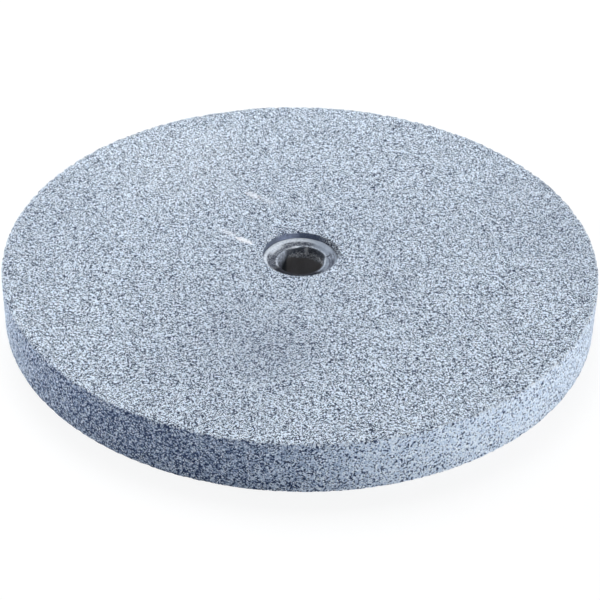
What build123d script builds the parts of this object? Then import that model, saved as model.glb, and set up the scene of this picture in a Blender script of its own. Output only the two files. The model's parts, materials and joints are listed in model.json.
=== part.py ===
from build123d import *
import os

# A bench grinding wheel that lies flat on one of its faces: a disc of bonded
# abrasive with a hole moulded through it, and a bush cast into that hole for the
# spindle. Millimetres, +Z up along the spindle's line, with the origin at the
# middle of the face that the wheel lies on.

# Abrasive disc
wheel_diameter = 205.0
wheel_thickness = 19.0
rim_edge_radius = 0.6  # the dressed corner between each face and the rim
hole_edge_radius = 0.5  # the corner between each face and the moulded hole

# Cast bush
bore_diameter = 16.0  # clears a spindle of five eighths of an inch
bore_edge_radius = 0.3
bush_wall = 5.0  # from the bore out to the abrasive
bush_recess = 1.9  # from each face of the disc down to the bush, where the two meet
bush_dish = 1.0  # how much lower the lip around the bore lies than the bush's outer edge
lip_width = 0.9  # flat ring around the bore
groove_width = 2.1  # the shrunken ring just outside the lip
groove_depth = 0.45

# Crumbled stretch of the hole's upper edge: the direction of each bite, in degrees
# about +Z from +X, and the radius of the bite
edge_bites = [
    (24, 0.9),
    (35, 1.3),
    (46, 1.0),
    (58, 1.2),
    (72, 1.4),
    (85, 1.0),
    (97, 1.3),
    (110, 0.9),
]
bite_lift = 0.4  # how far a bite's centre lies above the face, as a share of its radius

wheel_radius = wheel_diameter / 2
bore_radius = bore_diameter / 2
hole_radius = bore_radius + bush_wall
middle = wheel_thickness / 2


def bites():
    """The crumbs that have broken out of the hole's upper edge, as balls to cut away."""
    for direction, radius in edge_bites:
        height = wheel_thickness + bite_lift * radius
        yield Rot(0, 0, direction) * Pos(hole_radius, 0, height) * Sphere(radius)


def abrasive_wheel():
    """The disc: a section with eased corners, turned about the spindle's line."""
    wall = wheel_radius - hole_radius
    section = Pos(hole_radius + wall / 2, middle) * Rectangle(wall, wheel_thickness)
    section = fillet(section.vertices().group_by(Axis.X)[0], hole_edge_radius)
    section = fillet(section.vertices().group_by(Axis.X)[-1], rim_edge_radius)
    disc = revolve(Plane.XZ * section, Axis.Z)
    for bite in bites():
        disc -= bite
    return disc


def arbor_bush():
    """The bush: a sleeve that fills the hole, with both faces dished down to a lip at the bore."""
    edge_height = wheel_thickness - bush_recess
    lip_height = edge_height - bush_dish
    lip_radius = bore_radius + lip_width
    band_radius = lip_radius + groove_width
    slope = bush_dish / (hole_radius - lip_radius)
    band_height = lip_height + slope * groove_width
    groove_middle = lip_radius + groove_width / 2
    groove_floor = (lip_height + band_height) / 2 - groove_depth

    outline = Line((bore_radius, middle), (hole_radius, middle))
    outline += Line((hole_radius, middle), (hole_radius, edge_height))
    outline += Line((hole_radius, edge_height), (band_radius, band_height))
    outline += ThreePointArc(
        (band_radius, band_height), (groove_middle, groove_floor), (lip_radius, lip_height)
    )
    outline += Line((lip_radius, lip_height), (bore_radius, lip_height))
    outline += Line((bore_radius, lip_height), (bore_radius, middle))
    section = make_face(outline)
    bore_edge = section.vertices().sort_by_distance((bore_radius, lip_height, 0))[0]
    section = fillet(bore_edge, bore_edge_radius)
    section += mirror(section, Plane.ZX.offset(middle))
    return revolve(Plane.XZ * section, Axis.Z)


nodes = {
    "abrasive_wheel": abrasive_wheel(),
    "arbor_bush": arbor_bush(),
}

os.makedirs("parts", exist_ok=True)
for name, solid in nodes.items():
    export_step(solid, f"parts/{name}.step")
    print(name, "volume in cubic millimetres:", round(solid.volume))
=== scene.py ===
# %% [markdown]
# A bench grinding wheel lies flat on a pale floor. On the real thing there are two
# pieces: a disc of abrasive grain held together by a glassy bond, and a pale bush
# that was cast into its hole. The frame already holds both as exact solids, so this
# lesson only gives them the surface that a photograph shows: broken corners, open
# grain, a shrunken casting and dust. The exact solids are measured first.

# %% Load the frame and read its sizes
import json
import math
import bmesh
import bpy
from mathutils import Matrix, Vector, noise


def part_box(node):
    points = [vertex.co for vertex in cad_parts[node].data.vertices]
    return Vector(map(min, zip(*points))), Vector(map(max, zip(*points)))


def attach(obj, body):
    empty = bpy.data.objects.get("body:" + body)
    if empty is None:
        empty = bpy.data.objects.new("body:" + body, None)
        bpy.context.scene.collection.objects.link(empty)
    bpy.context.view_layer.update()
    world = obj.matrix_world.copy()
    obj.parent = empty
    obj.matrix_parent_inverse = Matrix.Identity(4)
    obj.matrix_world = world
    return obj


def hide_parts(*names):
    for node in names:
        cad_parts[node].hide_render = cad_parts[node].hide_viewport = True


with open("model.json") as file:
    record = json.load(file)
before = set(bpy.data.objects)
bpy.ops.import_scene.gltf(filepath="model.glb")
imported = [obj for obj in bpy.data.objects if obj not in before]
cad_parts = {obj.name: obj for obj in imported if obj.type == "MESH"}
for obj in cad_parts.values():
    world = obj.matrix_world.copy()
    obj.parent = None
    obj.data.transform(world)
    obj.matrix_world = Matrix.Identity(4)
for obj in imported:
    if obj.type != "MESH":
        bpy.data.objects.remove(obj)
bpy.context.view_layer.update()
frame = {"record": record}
MM = 0.001

wheel_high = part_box("abrasive_wheel")[1]
bush_low, bush_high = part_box("arbor_bush")
wheel_radius = wheel_high.x
thickness = wheel_high.z
hole_radius = bush_high.x
bore = next(mount for mount in frame["record"]["mounts"] if mount["name"] == "arbor_bore")
bore_radius = bore["dims"]["r_mm"] * MM
print(f"wheel {2 * wheel_radius / MM:.1f} x {thickness / MM:.1f} mm, hole {2 * hole_radius / MM:.1f} mm")

# %% [markdown]
# Everything round is turned from an outline, as on a lathe. The outline is a closed
# chain of vertices in the XZ plane. Its corners are rounded with a vertex bevel, and
# its edges are halved until they are short enough where detail will be needed. A full
# spin then closes it into a ring. Dividing the chain is far cheaper than dividing the
# finished surface.

# %% Helpers that draw, round, divide and spin an outline
def outline(points):
    """A closed chain of vertices through (radius, height) points, both in metres."""
    chain = bmesh.new()
    verts = [chain.verts.new((radius, 0, height)) for radius, height in points]
    for first, second in zip(verts, verts[1:] + verts[:1]):
        chain.edges.new((first, second))
    return chain


def round_corner(chain, radius, height, size, segments):
    """Rounds the corner of the chain that lies nearest to a place."""
    place = Vector((radius, 0, height))
    corner = min(chain.verts, key=lambda vert: (vert.co - place).length)
    bmesh.ops.bevel(
        chain, geom=[corner], affect="VERTICES",
        offset=size, segments=segments, profile=0.5, material=-1,
    )


def divide(chain, spacing):
    """Halves edges until each is no longer than spacing(its middle) allows."""
    while True:
        long_edges = [
            edge for edge in chain.edges
            if edge.calc_length() > spacing((edge.verts[0].co + edge.verts[1].co) / 2)
        ]
        if not long_edges:
            return
        bmesh.ops.bisect_edges(chain, edges=long_edges, cuts=1)


def spin(chain, steps):
    """Turns the chain once round +Z and faces the surface outwards."""
    bmesh.ops.spin(
        chain, geom=chain.verts[:] + chain.edges[:], cent=(0, 0, 0), axis=(0, 0, 1),
        angle=2 * math.pi, steps=steps, use_merge=True,
    )
    bmesh.ops.recalc_face_normals(chain, faces=chain.faces)


def finished_object(name, mesh):
    """Turns a bmesh into a smooth-shaded object at the origin."""
    data = bpy.data.meshes.new(name)
    mesh.to_mesh(data)
    mesh.free()
    data.shade_smooth()
    piece = bpy.data.objects.new(name, data)
    bpy.context.collection.objects.link(piece)
    triangles = sum(len(face.vertices) - 2 for face in data.polygons)
    heights = [vert.co.z / MM for vert in data.vertices]
    print(f"{name}: {triangles} triangles, from z {min(heights):.2f} to {max(heights):.2f} mm")
    return piece


# %% [markdown]
# The disc needs its finest mesh at the rim, where broken grain shows against the
# floor, and at the hole. The flat faces between need almost none. So the whole disc is
# spun with few steps, and afterwards only the edges that run round the rim are divided
# again.

# %% Spin the disc and divide its rim
SPIN_STEPS = 320
RIM_CUTS = 3
RIM_SHELL = 3 * MM
RIM_CORNER = 0.35 * MM
HOLE_CORNER = 0.5 * MM
CORNER_SEGMENTS = 4
CORNER_SPACING = 0.26 * MM
SPACING_GROWTH = 0.3  # how much longer the edges get with each millimetre from a corner
RIM_SPACING = 0.9 * MM
RIM_SKIN = 0.1 * MM
STRAIGHT_OUT = 1e-7  # an edge that doesn't turn round the spindle stays below this


def corner_distance(place):
    """How far a place lies from the nearest of the disc's four corner rings."""
    radius = math.hypot(place.x, place.y)
    across = min(abs(wheel_radius - radius), abs(radius - hole_radius))
    up = min(abs(place.z), abs(thickness - place.z))
    return math.hypot(across, up)


def disc_spacing(place):
    """Fine at the corners, capped on the rim and coarse on the flats."""
    spacing = CORNER_SPACING + SPACING_GROWTH * corner_distance(place)
    return min(spacing, RIM_SPACING) if place.x > wheel_radius - RIM_SKIN else spacing


def runs_round_rim(edge):
    """True for an edge of the rim shell that follows the circle."""
    first, second = (vert.co for vert in edge.verts)
    near = min(math.hypot(first.x, first.y), math.hypot(second.x, second.y))
    turn = abs(first.x * second.y - first.y * second.x)
    return near > wheel_radius - RIM_SHELL and turn > STRAIGHT_OUT


def disc_blank():
    """The disc as it left the mould: closed, true and sharp."""
    disc = outline([
        (hole_radius, 0), (wheel_radius, 0), (wheel_radius, thickness), (hole_radius, thickness),
    ])
    for height in (0, thickness):
        round_corner(disc, wheel_radius, height, RIM_CORNER, CORNER_SEGMENTS)
        round_corner(disc, hole_radius, height, HOLE_CORNER, CORNER_SEGMENTS)
    divide(disc, disc_spacing)
    rows = len(disc.verts)
    spin(disc, SPIN_STEPS)
    around = [edge for edge in disc.edges if runs_round_rim(edge)]
    bmesh.ops.subdivide_edges(disc, edges=around, cuts=RIM_CUTS, use_grid_fill=True)
    print(f"outline of {rows} vertices, {len(around)} rim edges divided")
    return disc


disc = disc_blank()
print(f"disc blank: {len(disc.faces)} faces, {disc.calc_volume() / MM**3:.0f} mm3")

# %% [markdown]
# A vitrified disc has no sharp corner anywhere: single grains have fallen out all
# along it, and here and there a crumb of several has gone. Both are bites, so they
# are made as bites: the distance to scattered points decides how deep each one goes,
# and only places near a corner are bitten. Every vertex moves inwards, so the disc
# never outgrows the exact solid.

# %% Bites, and what the rim has lost
BITE_EDGE = 0.62  # where a bite ends, as a share of its size from its middle
BITE_DRAW = 7.3  # spreads the points out before the draw, so that neighbours differ
RIM_GRAINS = (0.9 * MM, 0.2 * MM, 0.5)  # size and depth of a bite, and the share that is bitten
RIM_CRUMBS = (2.2 * MM, 0.55 * MM, 0.14)
RIM_ROUGHNESS = 0.1 * MM
RIM_WEAR_FADES = (0.4 * MM, 1.6 * MM)  # distances from the corner
LOWER_RIM_WEAR = 0.35


def smooth_step(low, high, value):
    """A smooth rise from 0 to 1 while value goes from low to high."""
    share = min(1, max(0, (value - low) / (high - low)))
    return share * share * (3 - 2 * share)


def bite(place, size, reach, share):
    """Depth of the nearest bite at a place: round hollows about size across."""
    distances, points = noise.voronoi(place / size)
    if noise.cell(points[0] * BITE_DRAW) > share:
        return 0
    return reach * max(0, 1 - (distances[0] / BITE_EDGE) ** 2)


def rim_loss(place, distance):
    """Grains and crumbs missing from the rim's corners, fewer on the side it lies on."""
    grains = bite(place, *RIM_GRAINS) + RIM_ROUGHNESS * abs(noise.noise(place / MM))
    crumbs = bite(place, *RIM_CRUMBS)
    kept = 1 if place.z > thickness / 2 else LOWER_RIM_WEAR
    return kept * (grains + crumbs) * (1 - smooth_step(*RIM_WEAR_FADES, distance))


print(f"rim: grains of {RIM_GRAINS[0] / MM:.1f} mm and crumbs of {RIM_CRUMBS[0] / MM:.1f} mm")

# %% [markdown]
# The hole's upper edge has lost the most. On the right, whole crumbs have broken out,
# and fewer of them behind. At the back the mouth is worn a little wider, so its wall
# catches the light. Each fault has its own stretch of directions with soft ends, which
# leaves the bites themselves as they are.

# %% What the edge of the hole has lost
CRUMBLING_BEGINS = (-4, 16)  # degrees round +Z, from +X towards +Y
CRUMBLING_LESSENS = (50, 68)
CRUMBLING_ENDS = (112, 128)
CRUMBLING_LESS_BY = 0.65
HOLE_GRAINS = (0.7 * MM, 0.22 * MM, 0.5)
HOLE_CRUMBS = (1.5 * MM, 1.0 * MM, 0.75)
HOLE_CRUMB_LEAST = 0.25 * MM
HOLE_WEAR_FADES = (0.5 * MM, 1.8 * MM)
FLARE_BEGINS = (40, 66)
FLARE_ENDS = (124, 150)
FLARE = 0.45 * MM
FLARE_DEPTH = 1.9 * MM
FLARE_REACH = 2 * MM


def turn_of(place):
    """Direction of a place round +Z, in degrees from +X towards +Y."""
    return math.degrees(math.atan2(place.y, place.x))


def crumble_share(place):
    """How much of the hole's upper edge has crumbled away: most on the right, less behind."""
    turn = turn_of(place)
    share = smooth_step(*CRUMBLING_BEGINS, turn) * (1 - smooth_step(*CRUMBLING_ENDS, turn))
    return share * (1 - CRUMBLING_LESS_BY * smooth_step(*CRUMBLING_LESSENS, turn))


def hole_loss(place, distance):
    """Grains missing from the hole's corners, and crumbs from the upper one."""
    top = place.z > thickness / 2
    share = crumble_share(place) if top else 0
    grains = bite(place, *HOLE_GRAINS)
    crumbs = bite(place, *HOLE_CRUMBS) + HOLE_CRUMB_LEAST
    return (grains + share * crumbs) * (1 - smooth_step(*HOLE_WEAR_FADES, distance))


def mouth_flare(place, radius):
    """How far the upper mouth of the hole widens, behind and on the far left."""
    turn = turn_of(place)
    share = smooth_step(*FLARE_BEGINS, turn) * (1 - smooth_step(*FLARE_ENDS, turn))
    share *= smooth_step(thickness - FLARE_DEPTH, thickness, place.z)
    return FLARE * share * (1 - smooth_step(0, FLARE_REACH, radius - hole_radius))


print(f"hole: crumbs of {HOLE_CRUMBS[0] / MM:.1f} mm, mouth up to {FLARE / MM:.2f} mm wider")

# %% [markdown]
# One pass over the mesh puts these losses together. Places far from every corner stay
# as they are: the flat faces were dressed true, and their grain is too fine to model,
# so it comes with the material.

# %% Wear the disc
SKIN_DEPTH = 0.05 * MM
SKIN_PATCH = 1.1 * MM
WEAR_REACH = 12 * MM


def skin_loss(place):
    """The open grain of the rim and of the faces beside it, where the mesh is fine."""
    return SKIN_DEPTH * (1 + noise.noise(place / SKIN_PATCH))


def wear(mesh):
    """Moves each vertex near a corner inwards by what the disc has lost there."""
    mesh.normal_update()
    for vert in mesh.verts:
        place = vert.co
        distance = corner_distance(place)
        if distance > WEAR_REACH:
            continue
        radius = math.hypot(place.x, place.y)
        if radius < 2 * hole_radius:
            vert.co = place - vert.normal * hole_loss(place, distance)
            vert.co += Vector((place.x, place.y, 0)) * (mouth_flare(place, radius) / radius)
        else:
            vert.co = place - vert.normal * (rim_loss(place, distance) + skin_loss(place))


wear(disc)
wheel = finished_object("abrasive_wheel_worn", disc)
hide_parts("abrasive_wheel")
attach(wheel, "root")

# %% [markdown]
# The bush was poured into the hole and shrank as it set. Its face sank towards the
# bore, a dull groove runs just outside the lip, the outer edge drew a hair away from
# the abrasive, and on the far side the lip has broken off into the bore. The same
# lathe helpers make a plain ring first. Every vertex is then moved by what happened to
# its part of the casting.

# %% Turn the bush
BUSH_DISH = 1.0 * MM
EDGE_GAP = 0.06 * MM
BUSH_MIDDLE = 3 * MM
MIDDLE_SPACING = 0.8 * MM
END_SPACING = 0.2 * MM
middle_height = thickness / 2


def bush_spacing(place):
    """Fine near both ends of the bush, coarse in the middle of the bore."""
    return END_SPACING if abs(place.z - middle_height) > BUSH_MIDDLE else MIDDLE_SPACING


def bush_blank():
    """The bush as one closed ring, with both faces still flat."""
    outer = hole_radius - EDGE_GAP
    top = bush_high.z - BUSH_DISH
    bottom = bush_low.z + BUSH_DISH
    ring = outline([(bore_radius, bottom), (bore_radius, top), (outer, top), (outer, bottom)])
    divide(ring, bush_spacing)
    spin(ring, SPIN_STEPS)
    print(f"bush blank: {len(ring.faces)} faces, {ring.calc_volume() / MM**3:.0f} mm3")
    return ring


bush_mesh = bush_blank()

# %% [markdown]
# Two things shape both ends of the bush: the dished section with its rounded outer
# edge, and waves of noise for the cast skin, which are strongest at the lip, where it
# tore. Both are heights, so they are worked out from the radius and added up.

# %% The cast face's section and skin
LIP_WIDTH = 0.9 * MM
GROOVE_WIDTH = 2.1 * MM
GROOVE_DEPTH = 0.45 * MM
EDGE_ROUND = 0.2 * MM
RIPPLES = [(0.05 * MM, 2.2 * MM), (0.04 * MM, 0.6 * MM)]  # height and size of each
TORN_EDGE = 0.3 * MM
TORN_SIZE = 0.9 * MM
lip_radius = bore_radius + LIP_WIDTH
band_radius = lip_radius + GROOVE_WIDTH


def face_rise(radius):
    """Height of the bush's end face above its lip, at a radius."""
    rise = 0
    if radius > lip_radius:
        rise = BUSH_DISH * (radius - lip_radius) / (hole_radius - lip_radius)
    if lip_radius < radius < band_radius:
        rise -= GROOVE_DEPTH * math.sin(math.pi * (radius - lip_radius) / GROOVE_WIDTH)
    over = max(0, EDGE_ROUND - (hole_radius - EDGE_GAP - radius))
    return rise - EDGE_ROUND + math.sqrt(max(0, EDGE_ROUND**2 - over**2))


def waves(place, parts, start=0):
    """Noise of several (height, size) parts, added to a start."""
    return sum((height * noise.noise(place / size) for height, size in parts), start)


def skin_wave(place, radius):
    """Ripples of the cast face, stronger towards the lip where it tore."""
    torn = 1 - smooth_step(0, LIP_WIDTH, radius - bore_radius)
    return waves(place, RIPPLES) + torn * TORN_EDGE * (noise.noise(place / TORN_SIZE) - 0.5)


print(f"lip from {bore_radius / MM:.1f} to {lip_radius / MM:.1f} mm, groove to {band_radius / MM:.1f} mm")

# %% [markdown]
# The broken stretch of the lip is a push outwards, away from the bore. It is strongest
# at the lip and dies away a few millimetres down, and more noise makes its border
# ragged. The bore below has long shallow streaks from the pour.

# %% Give the bush its casting flaws
BREAK_BEGINS = (8, 26)
BREAK_LESSENS = (66, 90)
BREAK_ENDS = (106, 120)
BREAK_LESS_BY = 0.75
BREAK_WIDTH = 1.3 * MM
BREAK_DEPTH = 3.2 * MM
BREAK_REACH = 3 * MM
BREAK_MEAN = 0.75
BREAK_RAGGED = [(0.5, 0.8 * MM), (0.35, 0.35 * MM)]
ON_BORE = 0.01 * MM
STREAK_DEPTH = 0.12 * MM
STREAK_WIDTH = 0.5 * MM
STREAK_STRETCH = 0.2
ENDS_FADE = (0.6, 1.0)  # shares of the way from the middle to an end


def lip_break(place, radius, depth):
    """How far the broken lip has drawn back from the bore, on the upper far side."""
    turn = turn_of(place)
    share = smooth_step(*BREAK_BEGINS, turn) * (1 - BREAK_LESS_BY * smooth_step(*BREAK_LESSENS, turn))
    share *= 1 - smooth_step(*BREAK_ENDS, turn)
    share *= 1 - smooth_step(0, BREAK_DEPTH, depth)
    share *= 1 - smooth_step(0, BREAK_REACH, radius - bore_radius)
    return BREAK_WIDTH * share * waves(place, BREAK_RAGGED, BREAK_MEAN)


def shape_bush(ring):
    """Gives the flat ring its faces, its skin, its streaks and its broken lip."""
    half = bush_high.z - BUSH_DISH - middle_height
    for vert in ring.verts:
        blank = vert.co.copy()
        radius = math.hypot(blank.x, blank.y)
        side = 1 if blank.z > middle_height else -1
        share = abs(blank.z - middle_height) / half
        wave = face_rise(radius) + skin_wave(blank, radius)
        outward = Vector((blank.x, blank.y, 0)).normalized()
        if radius < bore_radius + ON_BORE:
            streak = Vector((blank.x, blank.y, blank.z * STREAK_STRETCH)) / STREAK_WIDTH
            vert.co -= outward * STREAK_DEPTH * max(0, noise.noise(streak))
        if side > 0:
            vert.co += outward * lip_break(blank, radius, (1 - share) * half)
        vert.co.z += side * smooth_step(*ENDS_FADE, share) * wave


shape_bush(bush_mesh)
bush = finished_object("arbor_bush_cast", bush_mesh)
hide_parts("arbor_bush")
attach(bush, "root")

# %% [markdown]
# Materials come next. A shader is a small network of nodes, and a few short helpers
# keep it readable: one adds a node with its inputs already linked, the others stand
# for the sums that every network here needs. All lengths inside the shaders are in
# millimetres, so that a grain or a stain can be given its real size.

# %% Helpers that add shader nodes
def add_node(tree, kind, inputs=None, **settings):
    """Adds a node. Inputs are sockets to link or plain values to set."""
    node = tree.nodes.new(kind)
    for name, value in settings.items():
        setattr(node, name, value)
    for socket, value in (inputs or {}).items():
        if isinstance(value, bpy.types.NodeSocket):
            tree.links.new(value, node.inputs[socket])
        else:
            node.inputs[socket].default_value = value
    return node


def maths(tree, operation, *values):
    """One sum of up to three values."""
    return add_node(tree, "ShaderNodeMath", dict(enumerate(values)), operation=operation).outputs[0]


def vector_maths(tree, operation, first, second):
    """One sum of two vectors, or of a vector and a scale."""
    inputs = {0: first, "Scale" if operation == "SCALE" else 1: second}
    return add_node(tree, "ShaderNodeVectorMath", inputs, operation=operation).outputs[0]


def length(tree, vector):
    """How long a vector is."""
    return add_node(tree, "ShaderNodeVectorMath", {0: vector}, operation="LENGTH").outputs["Value"]


def ramp_up(tree, value, low, high, start=0.0, end=1.0):
    """A smooth change from start to end while value goes from low to high."""
    inputs = {"Value": value, "From Min": low, "From Max": high, "To Min": start, "To Max": end}
    return add_node(tree, "ShaderNodeMapRange", inputs, interpolation_type="SMOOTHSTEP").outputs[0]


def between(tree, value, low, high, soft):
    """1 while value lies between low and high, with soft ends."""
    rise = ramp_up(tree, value, low - soft, low + soft)
    return maths(tree, "MULTIPLY", rise, ramp_up(tree, value, high + soft, high - soft))


def product(tree, *values):
    """All values multiplied."""
    result = values[0]
    for value in values[1:]:
        result = maths(tree, "MULTIPLY", result, value)
    return result


def mix_colour(tree, factor, first, second):
    """Goes from the first colour to the second; a plain colour is a triple."""
    node = add_node(tree, "ShaderNodeMix", {"Factor": factor}, data_type="RGBA")
    for socket, value in (("A", first), ("B", second)):
        target = next(i for i in node.inputs if i.name == socket and i.type == "RGBA")
        if isinstance(value, bpy.types.NodeSocket):
            tree.links.new(value, target)
        else:
            target.default_value = (*value, 1)
    return next(output for output in node.outputs if output.type == "RGBA")


def cover(tree, colour, tint, *shares):
    """Lays a tint over a colour, as far as all the masks and shares allow."""
    return mix_colour(tree, product(tree, *shares), colour, tint)


def clouds(tree, vector, size, detail=2.0, roughness=0.5):
    """Soft noise from 0 to 1, with patches about size millimetres across."""
    inputs = {"Vector": vector, "Scale": 1 / size, "Detail": detail, "Roughness": roughness}
    return add_node(tree, "ShaderNodeTexNoise", inputs).outputs[0]


def specks(tree, vector, size, low, high, detail=3.0, roughness=0.7):
    """Noise with its contrast raised: 0 where it is at low, 1 where it is at high."""
    return ramp_up(tree, clouds(tree, vector, size, detail, roughness), low, high)


def millimetres(tree):
    """The place on the object, in millimetres from the frame's origin."""
    place_on_object = add_node(tree, "ShaderNodeTexCoord").outputs["Object"]
    return vector_maths(tree, "SCALE", place_on_object, 1 / MM)


# %% [markdown]
# What several finishes share is a node group: a small network with named sockets that
# is built once and then added wherever it is needed, each time with its own values.

# %% Helpers for node groups
def new_group(name, inputs, outputs):
    """An empty shader group with named sockets, and the sockets of its two end nodes."""
    group = bpy.data.node_groups.new(name, "ShaderNodeTree")
    for socket, value in inputs.items():
        kind = "NodeSocketFloat" if isinstance(value, float) else "NodeSocketVector"
        group.interface.new_socket(name=socket, in_out="INPUT", socket_type=kind).default_value = value
    for socket in outputs:
        group.interface.new_socket(name=socket, in_out="OUTPUT", socket_type="NodeSocketFloat")
    return group, group.nodes.new("NodeGroupInput").outputs, group.nodes.new("NodeGroupOutput").inputs


def use_group(tree, group, inputs):
    """Adds a copy of a group and returns its outputs."""
    return add_node(tree, "ShaderNodeGroup", inputs, node_tree=group).outputs


# %% [markdown]
# Bonded grain is the look of this whole object, so it is built once, as a group. Each
# grain is one cell of a Voronoi pattern whose coordinates are bent a little, so that
# the cells lose their tidy sides. A cell gives its grain a tone, and a facet that
# leans its own way, so that each grain catches the lamps differently. A share of the
# cells are pores instead, where a grain has fallen out.

# %% Group: bonded grain
BEND_FINENESS = 1.1
BEND = 0.7
PORE_BORDER = 0.12
DOME = (0.8, 0.15)  # distances from a cell's middle, where the dome begins and is full
DOME_HEIGHT = 0.4
STEP_HEIGHT = 0.4
FACET_TILT = 2.5


def grain_tone(group, cells, random, given):
    """How full each cell is, and its tone: 0 in a pore, 1 on the brightest grain, with painted shade in the
    crevice towards each cell's border.
    """
    share = given["Pore Share"]
    least = maths(group, "SUBTRACT", share, PORE_BORDER)
    filled = ramp_up(group, random["Red"], least, maths(group, "ADD", share, PORE_BORDER))
    body = ramp_up(group, random["Green"], 0.0, 1.0, given["Darkest Grain"], 1.0)
    dome = ramp_up(group, cells["Distance"], *DOME)
    # Painted shade in the crevice: the tone darkens towards each cell's border.
    crevice_shade = product(group, given["Crevice Shade"], maths(group, "SUBTRACT", 1.0, dome))
    return filled, dome, product(group, filled, body, maths(group, "SUBTRACT", 1.0, crevice_shade))


def build_grain_group():
    """Grain, as a tone from 0 to 1 and a height in millimetres."""
    group, given, result = new_group(
        "bonded_grain",
        {
            "Vector": (0, 0, 0), "Grain Size": 0.4, "Pore Share": 0.3, "Darkest Grain": 0.5,
            "Crevice Shade": 0.3, "Relief": 0.5,
        },
        ["Tone", "Height"],
    )
    scale = maths(group, "DIVIDE", 1.0, given["Grain Size"])
    scaled = vector_maths(group, "SCALE", given["Vector"], scale)
    bend = add_node(group, "ShaderNodeTexNoise", {"Vector": scaled, "Scale": BEND_FINENESS, "Detail": 1.0})
    bend = vector_maths(group, "SUBTRACT", bend.outputs["Color"], (0.5, 0.5, 0.5))
    bent = vector_maths(group, "ADD", scaled, vector_maths(group, "SCALE", bend, BEND))
    cells = add_node(group, "ShaderNodeTexVoronoi", {"Vector": bent, "Scale": 1.0}).outputs
    random = add_node(group, "ShaderNodeSeparateColor", {"Color": cells["Color"]}).outputs
    filled, dome, tone = grain_tone(group, cells, random, given)
    lean = vector_maths(group, "SUBTRACT", cells["Color"], (0.5, 0.5, 0.5))
    across = vector_maths(group, "SUBTRACT", bent, cells["Position"])
    facet = add_node(group, "ShaderNodeVectorMath", {0: across, 1: lean}, operation="DOT_PRODUCT")
    domed = maths(group, "MULTIPLY", dome, DOME_HEIGHT)
    height = maths(group, "MULTIPLY_ADD", facet.outputs["Value"], FACET_TILT, domed)
    height = maths(group, "MULTIPLY_ADD", random["Blue"], STEP_HEIGHT, height)
    height = product(group, filled, height, given["Relief"], given["Grain Size"])
    group.links.new(tone, result["Tone"])
    group.links.new(height, result["Height"])
    return group


grain_group = build_grain_group()
print(f"{grain_group.name}: {len(grain_group.nodes)} nodes")

# %% [markdown]
# Most stains and wear here are told apart by where they lie round the spindle: how far
# out, in which direction and how deep. A second group turns a place into those three,
# with a ragged push on each, so that no mask has a clean border. A third one makes a
# window in the direction, which has to wrap round behind the object.

# %% Groups: polar place and direction window
DEGREES_PUSHED = 8.0  # how far the ragged push turns a direction for each millimetre


def build_polar_group():
    """A place's radius, direction in degrees and depth below the upper face."""
    group, given, result = new_group(
        "polar_place", {"Vector": (0, 0, 0), "Ragged": 0.3, "Ragged Size": 0.8},
        ["Radius", "Direction", "Depth"],
    )
    parts = add_node(group, "ShaderNodeSeparateXYZ", {0: given["Vector"]}).outputs
    flat = vector_maths(group, "MULTIPLY", given["Vector"], (1, 1, 0))
    near = vector_maths(group, "SCALE", given["Vector"], maths(group, "DIVIDE", 1.0, given["Ragged Size"]))
    noise_inputs = {"Vector": near, "Scale": 1.0, "Detail": 3.0, "Roughness": 0.65}
    push = add_node(group, "ShaderNodeTexNoise", noise_inputs).outputs["Color"]
    push = vector_maths(group, "SUBTRACT", push, (0.5, 0.5, 0.5))
    push = vector_maths(group, "SCALE", push, given["Ragged"])
    push = add_node(group, "ShaderNodeSeparateXYZ", {0: push}).outputs
    turn = maths(group, "DEGREES", maths(group, "ARCTAN2", parts["Y"], parts["X"]))
    group.links.new(maths(group, "ADD", length(group, flat), push["X"]), result["Radius"])
    group.links.new(maths(group, "MULTIPLY_ADD", push["Y"], DEGREES_PUSHED, turn), result["Direction"])
    depth = maths(group, "SUBTRACT", thickness / MM, parts["Z"])
    group.links.new(maths(group, "ADD", depth, push["Z"]), result["Depth"])
    return group


def build_window_group():
    """1 in a stretch of directions, also where it crosses the back."""
    sockets = {"Direction": 0.0, "Middle": 0.0, "Half Width": 30.0, "Softness": 10.0}
    group, given, result = new_group("direction_window", sockets, ["Mask"])
    away = maths(group, "SUBTRACT", given["Direction"], given["Middle"])
    away = maths(group, "ABSOLUTE", maths(group, "WRAP", away, 180.0, -180.0))
    outer = maths(group, "ADD", given["Half Width"], given["Softness"])
    inner = maths(group, "SUBTRACT", given["Half Width"], given["Softness"])
    group.links.new(ramp_up(group, away, outer, inner), result["Mask"])
    return group


polar_group = build_polar_group()
window_group = build_window_group()
print(f"{polar_group.name}: {len(polar_group.nodes)} nodes, {window_group.name}: {len(window_group.nodes)}")


def window(tree, polar, middle, half, soft=10.0):
    """1 within half of the middle direction, all in degrees."""
    inputs = {"Direction": polar["Direction"], "Middle": middle, "Half Width": half, "Softness": soft}
    return use_group(tree, window_group, inputs)["Mask"]


# %% [markdown]
# Soft patches lie on the matt upper face, a little darker or paler than the rest: painted shade and painted
# light, in place of the light that a slightly wavy face would catch. All of them are round patches with a
# ragged border, so one group makes them from a centre and a radius.

# %% Group: soft patch
BORDER_CLOUDS = 2.0  # how many clouds of the border's noise fit in the radius


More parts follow.
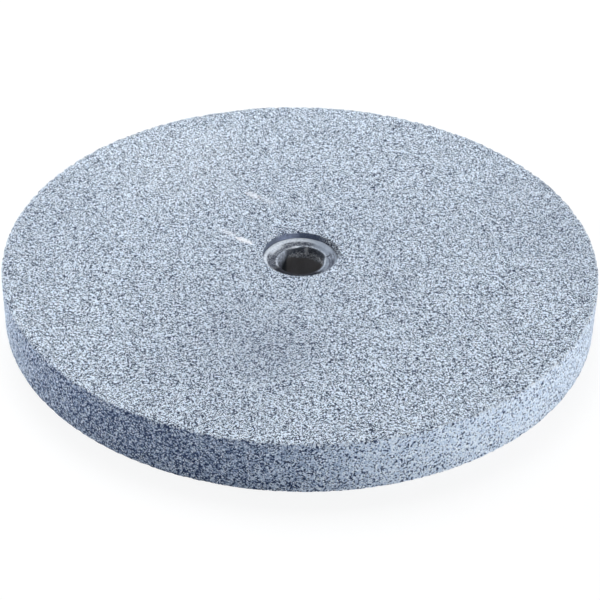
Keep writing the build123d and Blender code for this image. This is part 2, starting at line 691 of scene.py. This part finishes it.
def build_patch_group():
    """1 at a centre, falling to 0 at a radius, with a ragged border."""
    sockets = {"Vector": (0, 0, 0), "Centre": (0, 0, 0), "Radius": 20.0, "Softness": 0.8, "Ragged": 0.5}
    group, given, result = new_group("soft_patch", sockets, ["Mask"])
    offset = vector_maths(group, "SUBTRACT", given["Vector"], given["Centre"])
    share = maths(group, "DIVIDE", length(group, offset), given["Radius"])
    near = vector_maths(group, "SCALE", offset, maths(group, "DIVIDE", BORDER_CLOUDS, given["Radius"]))
    ragged = maths(group, "SUBTRACT", clouds(group, near, 1.0, 3.0), 0.5)
    share = maths(group, "MULTIPLY_ADD", ragged, given["Ragged"], share)
    inner = maths(group, "SUBTRACT", 1.0, given["Softness"])
    group.links.new(ramp_up(group, share, 1.0, inner), result["Mask"])
    return group


patch_group = build_patch_group()
print(f"{patch_group.name}: {len(patch_group.nodes)} nodes")

# %% [markdown]
# The disc's colour runs from dark slate in the pores to nearly white on the brightest
# grains. The faces were pressed and dressed flat, so their grain looks small and even.
# The rim has been cut open, so its grain is coarser. On the front left, which lies away from the lamps, it
# has more pores and a darker ground with pale specks: painted shade and painted glints. Two copies of the
# grain group with different values give both.

# %% The disc's grain, on the faces and on the rim
FACE_TONES = [
    (0.0, (0.004, 0.012, 0.04)),
    (0.25, (0.02, 0.045, 0.11)),
    (0.45, (0.58, 0.685, 0.825)),
    (1.0, (0.85, 0.91, 0.97)),
]
RIM_TONES = [
    (0.0, (0.004, 0.012, 0.04)),
    (0.25, (0.03, 0.055, 0.13)),
    (0.45, (0.50, 0.58, 0.70)),
    (1.0, (0.97, 0.99, 1.0)),
]
# The front-left stretch of the rim: darker tones with pale specks, painted shade and painted glints where
# it lies away from the lamps.
SHADED_RIM_TONES = [
    (0.0, (0.02, 0.035, 0.085)),
    (0.3, (0.075, 0.11, 0.20)),
    (0.55, (0.42, 0.49, 0.62)),
    (1.0, (0.97, 0.99, 1.0)),
]
FACE_GRAIN = {"Grain Size": 0.30, "Pore Share": 0.46, "Darkest Grain": 0.6, "Crevice Shade": 0.08, "Relief": 0.15}
RIM_GRAIN = {"Grain Size": 0.44, "Relief": 0.3}
SHADED_RIM_GRAIN = {"Pore Share": (0.19, 0.43), "Crevice Shade": (0.15, 0.25), "Darkest Grain": (0.52, 0.42)}
RIM_BORDER = (1.0, 0.4)  # millimetres inside the rim between which the grain changes
SHADED_RIM_STRETCH = (236.0, 36.0, 34.0)  # middle, half width and softness, in degrees round the rim


def colour_ramp(tree, value, stops):
    """Turns a value into a colour, by stops of a position and a colour."""
    node = add_node(tree, "ShaderNodeValToRGB", {"Fac": value})
    ramp = node.color_ramp
    while len(ramp.elements) < len(stops):
        ramp.elements.new(0.5)
    for element, (position, colour) in zip(ramp.elements, stops):
        element.position = position
        element.color = (*colour, 1)
    return node.outputs["Color"]


def rim_grain(tree, vector, polar):
    """Colour and height of the rim's grain, from the rest of the rim to its front-left stretch of painted
    shade and glints.
    """
    # Painted shade and glints on the front-left stretch of the rim.
    shaded_rim = window(tree, polar, *SHADED_RIM_STRETCH)
    inputs = {"Vector": vector, **RIM_GRAIN}
    for name, (elsewhere, most_shaded) in SHADED_RIM_GRAIN.items():
        inputs[name] = ramp_up(tree, shaded_rim, 0.0, 1.0, elsewhere, most_shaded)
    side = use_group(tree, grain_group, inputs)
    rest_colour = colour_ramp(tree, side["Tone"], RIM_TONES)
    shaded_colour = colour_ramp(tree, side["Tone"], SHADED_RIM_TONES)
    return mix_colour(tree, shaded_rim, rest_colour, shaded_colour), side["Height"]


def disc_grain(tree, vector, polar):
    """Colour and height of the grain, which changes where the face turns into the rim."""
    rim = ramp_up(tree, polar["Radius"], *(wheel_radius / MM - inset for inset in RIM_BORDER))
    face = use_group(tree, grain_group, {"Vector": vector, **FACE_GRAIN})
    side_colour, side_height = rim_grain(tree, vector, polar)
    colour = mix_colour(tree, rim, colour_ramp(tree, face["Tone"], FACE_TONES), side_colour)
    heights = {"Factor": rim, "A": face["Height"], "B": side_height}
    return colour, add_node(tree, "ShaderNodeMix", heights).outputs[0]


print(f"grain: {FACE_GRAIN['Grain Size']} mm on the faces, {RIM_GRAIN['Grain Size']} mm on the rim")

# %% [markdown]
# Over the grain lie broad patches of painted shade and painted light, a little darker or paler than the
# rest. Traces of use lie over them: two chalky scuffs with faint tails and a few short dark scratches on
# the upper face, and a crack and a scratch on the front of the rim. A stroke is one
# ellipsoid, which a Mapping node turns and shrinks to a unit ball, with noise added to
# break up its border.

# %% Patches of painted light and shade, scuffs and scratches
# Soft patches of painted shade (darker) and painted light (paler) on the upper face.
LIGHT_AND_SHADE_PATCHES = [
    # x, y, radius in millimetres, and how much darker (above 0) or paler (below 0)
    (-20, -57, 48, 0.15),
    (-8, -56, 22, 0.10),
    (102, 24, 56, 0.15),
    (-98, 14, 50, 0.10),
    (-42, 58, 38, -0.06),
    (0, 5, 85, 0.10),
]
SCUFFS = [
    # x, y, length, width in millimetres, the turn in degrees, and the strength
    (-19.9, 7.9, 9, 2.7, -33, 0.8),
    (-25.5, 12.4, 10, 3.0, -38, 0.35),
    (-17.4, 37.2, 8, 3.6, -36, 0.5),
    (-12.0, 33.6, 9, 3.4, -36, 0.2),
]
STROKES = [
    # centre, size of the ellipsoid in millimetres, and its rotation in degrees
    ((-13.4, 26.9, 19), (3.8, 0.95, 2), (0, 0, -48)),
    ((-10.2, 20.2, 19), (2.8, 0.6, 2), (0, 0, -60)),
    ((-14.5, 15.2, 19), (1.2, 1.1, 2), (0, 0, 0)),
    ((-17.7, 9.8, 19), (2.0, 1.0, 2), (0, 0, 35)),
    ((-18.5, 26.9, 19), (1.1, 1.0, 2), (0, 0, 0)),
    ((-2.6, -102.3, 12.1), (3.8, 2, 0.85), (0, 20, 0)),
    ((8.0, -102.2, 18), (2.9, 2, 0.7), (0, -55, 0)),
]
SCUFF_THICKNESS = 2
SCUFF_BREAK_UP = 1.3
STROKE_BREAK_UP = 0.3
STROKE_STRENGTH = 0.85
BREAK_UP_SIZE = 0.7
STROKE_BORDER = (1.0, 0.5)  # shares of the way out between which a stroke fades in
# The chalk colour serves the chalky scuffs and, as painted light, the paler patches; the dark colour after
# it is the patches' painted shade.
CHALK_AND_LIGHT = (0.9, 0.9, 0.93)
PATCH_SHADE = (0.06, 0.08, 0.14)
SCRATCH = (0.03, 0.04, 0.06)


def stroke_mask(tree, vector, centre, size, rotation, break_up):
    """An ellipsoid that meets the surface; break_up says how ragged its border is."""
    mapping = {
        "Vector": vector, "Location": centre, "Scale": [part / 2 for part in size],
        "Rotation": [math.radians(part) for part in rotation],
    }
    reach = length(tree, add_node(tree, "ShaderNodeMapping", mapping, vector_type="TEXTURE").outputs[0])
    push = clouds(tree, vector, BREAK_UP_SIZE, detail=3.0, roughness=0.65)
    reach = maths(tree, "MULTIPLY_ADD", maths(tree, "SUBTRACT", push, 0.5), 2 * break_up, reach)
    return ramp_up(tree, reach, *STROKE_BORDER)


def add_face_marks(tree, vector, colour):
    """Lays the patches of painted light and shade, the scuffs and the strokes over the grain."""
    top = thickness / MM
    # Patches of painted shade and painted light.
    for x, y, radius, strength in LIGHT_AND_SHADE_PATCHES:
        inputs = {"Vector": vector, "Centre": (x, y, top), "Radius": float(radius)}
        mask = use_group(tree, patch_group, inputs)["Mask"]
        colour = cover(tree, colour, PATCH_SHADE if strength > 0 else CHALK_AND_LIGHT, mask, abs(strength))
    for x, y, stroke, width, turn, strength in SCUFFS:
        size = (stroke, width, SCUFF_THICKNESS)
        mask = stroke_mask(tree, vector, (x, y, top), size, (0, 0, turn), SCUFF_BREAK_UP)
        colour = cover(tree, colour, CHALK_AND_LIGHT, mask, strength)
    for centre, size, rotation in STROKES:
        mask = stroke_mask(tree, vector, centre, size, rotation, STROKE_BREAK_UP)
        colour = cover(tree, colour, SCRATCH, mask, STROKE_STRENGTH)
    return colour


print(f"{len(LIGHT_AND_SHADE_PATCHES)} patches, {len(SCUFFS)} chalky strokes and {len(STROKES)} dark ones")

# %% [markdown]
# The upper wall of the hole is smooth where the bush's casting once reached up it: a violet film behind on
# the left, which darkens to navy at the back and again on the far left. The navy is partly painted shade,
# and the darker far left is painted shade. A mask from the radius, the direction and the depth gives the
# film its place, and the same mask later flattens the grain below it. Faint streaks run along it, round the
# spindle.

# %% The film on the wall of the hole
FILM = (0.235, 0.275, 0.40)
# The darker copy of the film is painted shade on the far left, and the navy is partly painted shade at the
# back.
FILM_SHADED = (0.11, 0.13, 0.18)
NAVY = (0.056, 0.076, 0.13)
FILM_EDGE = (14.0, 13.7)  # radii in millimetres between which the film sets in
FILM_TOP = (0.1, 0.5)  # and depths below the upper face
FILM_STRETCH = (115.0, 62.0)  # middle and half width in degrees
NAVY_FADES = (86.0, 106.0)  # directions in degrees
SHADE_GROWS = (116.0, 134.0)
FILM_STRENGTH = 0.95
FILM_STREAK = 0.7
FILM_STREAK_STRENGTH = 0.45
STREAK_TURN = 30.0  # how far a streak runs round the spindle, in degrees
STREAK_CONTRAST = (0.38, 0.62)


def round_streaks(tree, polar, spacing):
    """Long faint streaks that run round the spindle, as a mask from 0 to 1."""
    inputs = {
        "X": maths(tree, "DIVIDE", polar["Radius"], spacing),
        "Y": maths(tree, "DIVIDE", polar["Direction"], STREAK_TURN),
        "Z": maths(tree, "DIVIDE", polar["Depth"], spacing),
    }
    along = add_node(tree, "ShaderNodeCombineXYZ", inputs).outputs[0]
    return specks(tree, along, 1.0, *STREAK_CONTRAST, detail=2.0, roughness=0.6)


def hole_film(tree, polar):
    """Where the smooth film covers the wall of the hole."""
    wall = ramp_up(tree, polar["Radius"], *FILM_EDGE)
    below = ramp_up(tree, polar["Depth"], *FILM_TOP)
    return product(tree, wall, below, window(tree, polar, *FILM_STRETCH))


def film_colour(tree, polar):
    """Navy at the back, partly painted shade, violet beside it, and painted shade again on the far left."""
    tint = mix_colour(tree, ramp_up(tree, polar["Direction"], *NAVY_FADES), NAVY, FILM)
    tint = mix_colour(tree, ramp_up(tree, polar["Direction"], *SHADE_GROWS), tint, FILM_SHADED)
    return cover(tree, tint, NAVY, round_streaks(tree, polar, FILM_STREAK), FILM_STREAK_STRENGTH)


# %% [markdown]
# On the right the edge of the hole has crumbled, and the raw grain there shows in dark specks, which are
# noise with its contrast raised. On the near side the wall is out of the light, and it is painted
# near-black as painted shade.

# %% The whole wall of the hole
# A near-black for the dark specks of the crumbled edge, and for painted shade on the near side of the hole
# and of the bush.
SOOT_AND_SHADE = (0.012, 0.013, 0.022)
CRUMBLED_EDGE = (14.4, 13.6)
CRUMBLED_STRETCH = (24.0, 30.0)
CRUMBLED_SPECKS = (0.5, 0.66, 0.5)  # their size, and the noise at which they begin and are full
CRUMBLED_STRENGTH = 0.78
NEAR_WALL_SHADE_EDGE = (13.45, 13.15)
NEAR_WALL_SHADE_STRETCH = (-90.0, 50.0)
NEAR_WALL_SHADE_STRENGTH = 0.95


def add_hole_wall(tree, vector, polar, colour):
    """Lays the film, the specks of the crumbled edge and the painted shade of the near side over the grain.
    """
    colour = cover(tree, colour, film_colour(tree, polar), hole_film(tree, polar), FILM_STRENGTH)
    crumbled = ramp_up(tree, polar["Radius"], *CRUMBLED_EDGE)
    crumbled = product(tree, crumbled, window(tree, polar, *CRUMBLED_STRETCH))
    speck = specks(tree, vector, *CRUMBLED_SPECKS)
    colour = cover(tree, colour, SOOT_AND_SHADE, crumbled, speck, CRUMBLED_STRENGTH)
    # Painted shade: the near wall of the hole, out of the light, is painted near-black.
    near = ramp_up(tree, polar["Radius"], *NEAR_WALL_SHADE_EDGE)
    return cover(tree, colour, SOOT_AND_SHADE, near, window(tree, polar, *NEAR_WALL_SHADE_STRETCH), NEAR_WALL_SHADE_STRENGTH)


# %% [markdown]
# The disc's material only has to put these parts together. The surface is dull and
# hard, with a high roughness and a little gloss, and the height of the grain becomes
# bump, because single grains of half a millimetre are too many to model.

# %% Material: bonded abrasive
WALL_RAGGED = {"Ragged": 0.8, "Ragged Size": 0.9}


def new_material(name):
    """A material with nodes, and its tree."""
    material = bpy.data.materials.new(name)
    material.use_nodes = True
    return material, material.node_tree


def finish_material(material, colour, bump, roughness, gloss):
    """Links the colour and the bump and sets how dull the surface is."""
    tree = material.node_tree
    shader = tree.nodes["Principled BSDF"]
    normal = add_node(tree, "ShaderNodeBump", bump).outputs["Normal"]
    tree.links.new(colour, shader.inputs["Base Color"])
    tree.links.new(normal, shader.inputs["Normal"])
    shader.inputs["Roughness"].default_value = roughness
    shader.inputs["Specular IOR Level"].default_value = gloss
    print(f"{material.name}: {len(tree.nodes)} nodes")


def abrasive_material():
    """The disc's material."""
    material, tree = new_material("bonded_abrasive")
    vector = millimetres(tree)
    true_place = use_group(tree, polar_group, {"Vector": vector, "Ragged": 0.0})
    ragged_place = use_group(tree, polar_group, {"Vector": vector, **WALL_RAGGED})
    colour, height = disc_grain(tree, vector, true_place)
    colour = add_face_marks(tree, vector, colour)
    colour = add_hole_wall(tree, vector, ragged_place, colour)
    bare = maths(tree, "SUBTRACT", 1.0, hole_film(tree, ragged_place))
    bump = {"Height": product(tree, height, bare), "Distance": MM, "Strength": 1.0}
    finish_material(material, colour, bump, roughness=0.8, gloss=0.3)
    return material


wheel.data.materials.append(abrasive_material())

# %% [markdown]
# The bush is one pale casting, darker in places: dark specks in the groove on the far side, grime on the
# lip beside it, a smudge on the left, and on the right a stretch of painted shade with streaks over it. A
# thin band of painted shade runs along its outer edge on the right, beside the disc. Every stain is a
# window in the direction times a band in the radius, and noise breaks it into specks.

# %% The bush's face
CAST_PALE = (0.72, 0.76, 0.82)
CAST_DULL_AND_SHADE = (0.24, 0.285, 0.36)
DUST_AND_SHADE = (0.04, 0.046, 0.07)
MOTTLE = (0.8, 0.42, 0.66)  # size, and the noise at which it begins and is full
MOTTLE_STRENGTH = 0.5
# The stretch on the right is painted shade, which darkens that part of the face.
SHADED_SIDE_STRETCH = (10.0, 66.0, 26.0)
SHADED_SIDE_STRENGTH = 0.8
STREAKED_BAND = (9.8, 12.2)
STREAKED_STRETCH = (-5.0, 30.0)
STREAKED_STRENGTH = 0.8
FACE_STREAK = 0.5
BAND_SOFTNESS = 0.3
DARK_SPECKS = (0.5, 0.72, 0.46)
SPECKLED_STAINS = [
    # inner and outer radius in millimetres, middle and half width of the stretch in degrees
    (9.5, 11.2, 96.0, 30.0),
    (7.0, 10.3, 142.0, 34.0),
]
PLAIN_STAINS = [
    # the same, and the strength
    (8.5, 11.6, -174.0, 24.0, 1.0),
    (10.0, 11.6, -13.0, 15.0, 0.85),
    (9.0, 11.0, -47.0, 16.0, 0.88),
    # The last darkens the outer edge on the right, beside the gap to the disc, as painted shade.
    (12.3, 13.3, 6.0, 26.0, 0.6),
]
SPECKLED_STRENGTH = 0.92
PLAIN_LEAST = 0.62  # how much of a plain stain lies between its specks


def stain(tree, polar, band, stretch):
    """1 inside a band of the radius (low, high) and a stretch of directions (middle, half)."""
    inside = between(tree, polar["Radius"], *band, BAND_SOFTNESS)
    return product(tree, inside, window(tree, polar, *stretch))


def bush_face_colour(tree, vector, polar):
    """The cast face: mottled, with painted shade on the right, and dust and dark specks in places."""
    colour = cover(tree, CAST_PALE, CAST_DULL_AND_SHADE, specks(tree, vector, *MOTTLE, detail=4.0), MOTTLE_STRENGTH)
    # Painted shade on the right part of the face.
    colour = cover(tree, colour, CAST_DULL_AND_SHADE, window(tree, polar, *SHADED_SIDE_STRETCH), SHADED_SIDE_STRENGTH)
    streaked = stain(tree, polar, STREAKED_BAND, STREAKED_STRETCH)
    colour = cover(tree, colour, DUST_AND_SHADE, round_streaks(tree, polar, FACE_STREAK), streaked, STREAKED_STRENGTH)
    speck = specks(tree, vector, *DARK_SPECKS)
    for low, high, middle, half in SPECKLED_STAINS:
        mask = stain(tree, polar, (low, high), (middle, half))
        colour = cover(tree, colour, DUST_AND_SHADE, mask, speck, SPECKLED_STRENGTH)
    fuller = maths(tree, "MAXIMUM", speck, PLAIN_LEAST)
    for low, high, middle, half, strength in PLAIN_STAINS:
        mask = stain(tree, polar, (low, high), (middle, half))
        colour = cover(tree, colour, DUST_AND_SHADE, mask, fuller, strength)
    return colour


print(f"bush face: {len(SPECKLED_STAINS)} speckled stains and {len(PLAIN_STAINS)} plain ones")

# %% [markdown]
# Under the broken lip the far wall of the bore is torn: dark, with pale flecks where
# fresh casting shows, and with one pale drip. The flecks grow closer and paler with
# depth, so the depth is added to the noise before its contrast is raised.

# %% The torn wall below the broken lip
TORN = (0.07, 0.08, 0.10)
FLECK = (0.34, 0.37, 0.44)
FRESH = (0.80, 0.82, 0.86)
TORN_DEEPENS = (3.4, 5.6)  # depths in millimetres
DEEP_FLECKS = 0.16
FLECK_SIZE = 0.5
FLECK_CONTRAST = (0.58, 0.74)
DRIP_STRETCH = (76.0, 4.0, 3.0)
DRIP_DEPTH = (3.2, 5.6, 0.4)  # from, to and softness, in millimetres
DRIP_STRENGTH = 0.5


def broken_wall_colour(tree, vector, polar):
    """Torn casting, more flecked where it lies deeper, and one pale drip."""
    deep = ramp_up(tree, polar["Depth"], *TORN_DEEPENS)
    fleck = clouds(tree, vector, FLECK_SIZE, detail=4.0, roughness=0.75)
    fleck = ramp_up(tree, maths(tree, "MULTIPLY_ADD", deep, DEEP_FLECKS, fleck), *FLECK_CONTRAST)
    colour = mix_colour(tree, fleck, TORN, mix_colour(tree, deep, FLECK, FRESH))
    drip = between(tree, polar["Depth"], *DRIP_DEPTH)
    return cover(tree, colour, FRESH, window(tree, polar, *DRIP_STRETCH), drip, DRIP_STRENGTH)


# %% [markdown]
# On the far left a pale run comes down from the lip into the bore: painted light, where the lamp on the
# right lights that wall. It is mottled, ends in streaks and narrows as it goes down. Its end is a painted
# shadow edge, which slants up towards the back because the depth at which it stops is itself a window in
# the direction. Below it, and on the run's far side, the wall is painted dark as shade.

# %% The pale run of painted light in the bore
# Grime and painted shadow below and beside the run, and the pale of its painted light.
GRIME_AND_SHADOW = (0.035, 0.04, 0.05)
RUN_PALE_LIT = (0.66, 0.71, 0.82)
RUN_DEPTH = 9.6
RUN_RISE = 4.2
RUN_RISES = (112.0, 26.0, 20.0)
RUN_END = (-0.6, 1.6)  # millimetres from that depth between which it turns to grime
RUN_MOTTLE = (0.6, 0.6, 0.42)
RUN_MOTTLE_STRENGTH = 0.55
RUN_SHADE = (112.0, 18.0, 6.0)
RUN_SHADE_STRENGTH = 0.8
RUN_STREAKS = (0.7, 0.4, 0.6)
STREAKS_GROW = (5.5, 9.5)  # depths in millimetres
STREAK_LENGTHENED = (1, 1, 0.25)


def lit_run_colour(tree, vector, polar):
    """The run's painted light: mottled, streaked towards its end, with painted shade on its far side and
    painted shadow below its end.
    """
    stretched = vector_maths(tree, "MULTIPLY", vector, STREAK_LENGTHENED)
    streak = specks(tree, stretched, *RUN_STREAKS, roughness=0.6)
    run = cover(tree, RUN_PALE_LIT, GRIME_AND_SHADOW, specks(tree, vector, *RUN_MOTTLE), RUN_MOTTLE_STRENGTH)
    run = cover(tree, run, GRIME_AND_SHADOW, streak, ramp_up(tree, polar["Depth"], *STREAKS_GROW))
    run = cover(tree, run, GRIME_AND_SHADOW, window(tree, polar, *RUN_SHADE), RUN_SHADE_STRENGTH)
    bottom = ramp_up(tree, window(tree, polar, *RUN_RISES), 0.0, 1.0, RUN_DEPTH, RUN_DEPTH - RUN_RISE)
    ended = ramp_up(tree, maths(tree, "SUBTRACT", polar["Depth"], bottom), *RUN_END)
    # Painted shadow below the run's end.
    return cover(tree, run, GRIME_AND_SHADOW, ended)


# %% [markdown]
# Below all this the bore was left as it was cast and has gone black with use. It lies
# deeper than the light of a studio reaches, so the little light there makes it black,
# and its own colour can stay a mid grey.

# %% The bush's bore
BORE_BLACK = (0.25, 0.235, 0.23)
BLACK_BEGINS = (5.9, 7.1)  # depths, beside the broken lip and below it
BLACK_LOWER = (70.0, 40.0, 25.0)
BLACK_BORDER = (-0.3, 0.3)
RUN_MIDDLE = 165.0
RUN_SOFTNESS = 6.0
RUN_NARROWS = (3.0, 7.0)  # depths, and the half width there in degrees
RUN_HALF_WIDTH = (58.0, 38.0)


def bush_bore_colour(tree, vector, polar):
    """The bore: black below, flecked where the lip broke off, with painted light on the far left."""
    border = ramp_up(tree, window(tree, polar, *BLACK_LOWER), 0.0, 1.0, *BLACK_BEGINS)
    black = ramp_up(tree, maths(tree, "SUBTRACT", polar["Depth"], border), *BLACK_BORDER)
    colour = mix_colour(tree, black, broken_wall_colour(tree, vector, polar), BORE_BLACK)
    half = ramp_up(tree, polar["Depth"], *RUN_NARROWS, *RUN_HALF_WIDTH)
    run = window(tree, polar, RUN_MIDDLE, half, RUN_SOFTNESS)
    # Painted light on the far left of the bore.
    return cover(tree, colour, lit_run_colour(tree, vector, polar), run)


# %% [markdown]
# The border between face and bore is the lip's edge. It lies at the bore's own radius, but further out
# where the lip has broken off, and noise tears it there. The crest just outside it is painted pale in
# pieces, as a painted highlight where the crest catches the light.

# %% The lip's edge and the painted highlight on its crest
LIP_EDGE = 8.35
BROKEN_EDGE = 9.3
BROKEN_STRETCH = (52.0, 40.0, 14.0)
TORN_STRETCH = (75.0, 50.0)
TORN_BY = (0.2, 1.1)  # how far noise moves the edge, outside that stretch and within it
TORN_PIECES = 0.8
WALL_BEGINS = (3.0, 3.4)  # depths; below these all of the inner surface counts as the bore
WALL_EDGE = (9.6, 9.3)
INSIDE_BORDER = (0.0, -0.15)
CREST_BAND = (0.1, 0.5, 0.15)
CREST_STRETCH = (56.0, 72.0)
CREST_PIECES = (0.7, 0.42, 0.56)


def lip_masks(tree, vector, polar):
    """Where the bore's colour begins, and the crest just outside of it, for a painted highlight."""
    edge = ramp_up(tree, window(tree, polar, *BROKEN_STRETCH), 0.0, 1.0, LIP_EDGE, BROKEN_EDGE)
    torn = clouds(tree, vector, TORN_PIECES, detail=3.0, roughness=0.6)
    tearing = ramp_up(tree, window(tree, polar, *TORN_STRETCH), 0.0, 1.0, *TORN_BY)
    edge = maths(tree, "MULTIPLY_ADD", maths(tree, "SUBTRACT", torn, 0.5), tearing, edge)
    outside = maths(tree, "SUBTRACT", polar["Radius"], edge)
    below = ramp_up(tree, polar["Depth"], *WALL_BEGINS)
    below = product(tree, below, ramp_up(tree, polar["Radius"], *WALL_EDGE))
    inside = maths(tree, "MAXIMUM", ramp_up(tree, outside, *INSIDE_BORDER), below)
    crest = product(tree, between(tree, outside, *CREST_BAND), window(tree, polar, *CREST_STRETCH))
    return inside, product(tree, crest, specks(tree, vector, *CREST_PIECES, roughness=0.6))


# %% [markdown]
# The material puts face, highlighted crest, bore and dust together. The near part of the lip and of the
# wall below it lies out of the light and is painted black last, as painted shade. One nick in the right
# part of the face is a stroke like the scratches on the disc.

# %% Material: cast bush
# The crest's pale is a painted highlight.
CREST_HIGHLIGHT = (0.74, 0.77, 0.83)
CREST_HIGHLIGHT_STRENGTH = 0.6
NICK = ((9.6, 3.24, 16.4), (2.4, 1.2, 3), (0, 0, 19))  # centre, size and rotation
NICK_BREAK_UP = 0.2
NICK_STRENGTH = 0.9
SKIN_RELIEF = 0.2 * MM
# Where the near part of the lip and of the bore's top is painted black as shade.
NEAR_LIP_SHADE_EDGE = (11.6, 10.4)
NEAR_LIP_SHADE_STRETCH = (-100.0, 56.0)
NEAR_LIP_SHADE_ENDS = (6.0, 4.0)
BUSH_RAGGED = {"Ragged": 0.9, "Ragged Size": 0.8}


def bush_material():
    """The bush's material."""
    material, tree = new_material("cast_bush")
    vector = millimetres(tree)
    polar = use_group(tree, polar_group, {"Vector": vector, **BUSH_RAGGED})
    inside, crest = lip_masks(tree, vector, polar)
    # Painted highlight on the crest.
    colour = cover(tree, bush_face_colour(tree, vector, polar), CREST_HIGHLIGHT, crest, CREST_HIGHLIGHT_STRENGTH)
    nick = stroke_mask(tree, vector, *NICK, NICK_BREAK_UP)
    colour = cover(tree, colour, DUST_AND_SHADE, nick, NICK_STRENGTH)
    colour = cover(tree, colour, bush_bore_colour(tree, vector, polar), inside)
    # Painted shade: the near part of the lip and the wall below it.
    near = ramp_up(tree, polar["Radius"], *NEAR_LIP_SHADE_EDGE)
    upper = ramp_up(tree, polar["Depth"], *NEAR_LIP_SHADE_ENDS)
    colour = cover(tree, colour, SOOT_AND_SHADE, near, window(tree, polar, *NEAR_LIP_SHADE_STRETCH), upper)
    skin = clouds(tree, vector, 0.5, detail=4.0, roughness=0.7)
    bump = {"Height": skin, "Distance": SKIN_RELIEF, "Strength": 0.8}
    finish_material(material, colour, bump, roughness=0.7, gloss=0.15)
    return material


bush.data.materials.append(bush_material())

# %% [markdown]
# The floor is a plain pale sheet. Seen by the camera it is nearly white and keeps the
# soft shadow of the disc. For light that bounces, it is a cool pale grey, which fills
# the dark side of the rim a little, as a sheet of studio paper does. The Light Path
# node tells the two kinds of ray apart.

# %% Floor
PAPER = (0.9, 0.9, 0.9, 1)
BOUNCE = (0.66, 0.77, 0.93, 1)
WHITE = (1, 1, 1, 1)
GLOW_SHARE = 0.82
GLOW_STRENGTH = 1.04
FLOOR_HALF_WIDTH = 6


def seen_directly(tree):
    """1 for rays from the camera, and for those that show the background in a surface."""
    rays = add_node(tree, "ShaderNodeLightPath").outputs
    seen = maths(tree, "MAXIMUM", rays["Is Camera Ray"], rays["Is Glossy Ray"])
    return maths(tree, "MAXIMUM", seen, rays["Is Transmission Ray"])


def mix_shaders(tree, share, first, second):
    """Goes from the first shader to the second."""
    return add_node(tree, "ShaderNodeMixShader", {0: share, 1: first, 2: second}).outputs[0]


def floor_material():
    """Paper that glows for the camera and is a plain grey for bounced light."""
    material, tree = new_material("floor")
    tree.nodes.clear()
    paper = add_node(tree, "ShaderNodeBsdfDiffuse", {"Color": PAPER}).outputs[0]
    glow = add_node(tree, "ShaderNodeEmission", {"Color": WHITE, "Strength": GLOW_STRENGTH}).outputs[0]
    grey = add_node(tree, "ShaderNodeBsdfDiffuse", {"Color": BOUNCE}).outputs[0]
    pale = mix_shaders(tree, GLOW_SHARE, paper, glow)
    mixed = mix_shaders(tree, seen_directly(tree), grey, pale)
    add_node(tree, "ShaderNodeOutputMaterial", {"Surface": mixed})
    return material


def make_floor():
    """A flat sheet at the height of the disc's lower face."""
    mesh = bmesh.new()
    bmesh.ops.create_grid(mesh, x_segments=1, y_segments=1, size=FLOOR_HALF_WIDTH)
    floor = finished_object("floor", mesh)
    floor.data.materials.append(floor_material())


make_floor()

# %% [markdown]
# The light is a small studio: one low, wide lamp on the front right, which grazes the
# rim, a weaker pull from the left and a soft one high behind. The front left stays
# darker, as in the photograph. The world adds a little even light, and is white where
# it is seen itself.

# %% Lamps and world
LAMP_COLOUR = (0.94, 0.975, 1.0)
SKY_LIGHT = 0.16
LAMPS = [
    # name, azimuth and elevation in degrees, width and height in metres, and watts
    ("front_right_lamp", -29, 13, (1.2, 0.3), 8.3),
    ("left_lamp", 162, 13, (0.7, 0.3), 8.4),
    ("top_lamp", 95, 57, (0.6, 0.6), 9.0),
]


def area_lamp(name, azimuth, elevation, size, power):
    """A wide soft lamp a metre away that faces the disc. Azimuth is counted from +X to +Y."""
    data = bpy.data.lights.new(name, "AREA")
    data.color = LAMP_COLOUR
    data.shape = "RECTANGLE"
    data.size, data.size_y = size
    data.energy = power
    lamp = bpy.data.objects.new(name, data)
    turn = math.radians(azimuth)
    rise = math.radians(elevation)
    away = Vector((math.cos(turn) * math.cos(rise), math.sin(turn) * math.cos(rise), math.sin(rise)))
    lamp.location = away
    lamp.rotation_euler = away.to_track_quat("Z", "Y").to_euler()
    bpy.context.collection.objects.link(lamp)
    print(f"{name}: {power} W")


def make_world():
    """Even light from all sides, white where it is seen itself."""
    world = bpy.data.worlds.new("studio")
    world.use_nodes = True
    tree = world.node_tree
    background = tree.nodes["Background"]
    strength = ramp_up(tree, seen_directly(tree), 0, 1, SKY_LIGHT, 1.0)
    tree.links.new(strength, background.inputs["Strength"])
    background.inputs["Color"].default_value = WHITE
    bpy.context.scene.world = world


make_world()
for lamp in LAMPS:
    area_lamp(*lamp)

# %% [markdown]
# The camera repeats the photograph's: a long lens, looking down at about 34 degrees
# from the front, aimed close to the middle of the upper face. The three small turns
# at the end set the disc where it lies in the picture.

# %% Camera
CAMERA_DISTANCE = 644.5 * MM
CAMERA_ELEVATION = 34.155
CAMERA_PAN = -0.012
CAMERA_TILT = -1.417
CAMERA_ROLL = -1.030
FOCAL_PIXELS = 1863.2
FRAME_PIXELS = 600
SENSOR_MM = 36

data = bpy.data.cameras.new("camera")
data.sensor_width = SENSOR_MM
data.lens = SENSOR_MM * FOCAL_PIXELS / FRAME_PIXELS
camera = bpy.data.objects.new("camera", data)
rise = math.radians(CAMERA_ELEVATION)
away = Vector((0, -math.cos(rise), math.sin(rise)))
aim = away.to_track_quat("Z", "Y").to_matrix()
aim = aim @ Matrix.Rotation(math.radians(CAMERA_PAN), 3, "Y")
aim = aim @ Matrix.Rotation(math.radians(CAMERA_TILT), 3, "X")
aim = aim @ Matrix.Rotation(-math.radians(CAMERA_ROLL), 3, "Z")
camera.matrix_world = Matrix.Translation(Vector((0, 0, thickness)) + away * CAMERA_DISTANCE) @ aim.to_4x4()
bpy.context.collection.objects.link(camera)
bpy.context.scene.camera = camera
bpy.context.scene.view_settings.view_transform = "Standard"
print(f"camera: {data.lens:.1f} mm lens, {CAMERA_DISTANCE / MM:.0f} mm away")
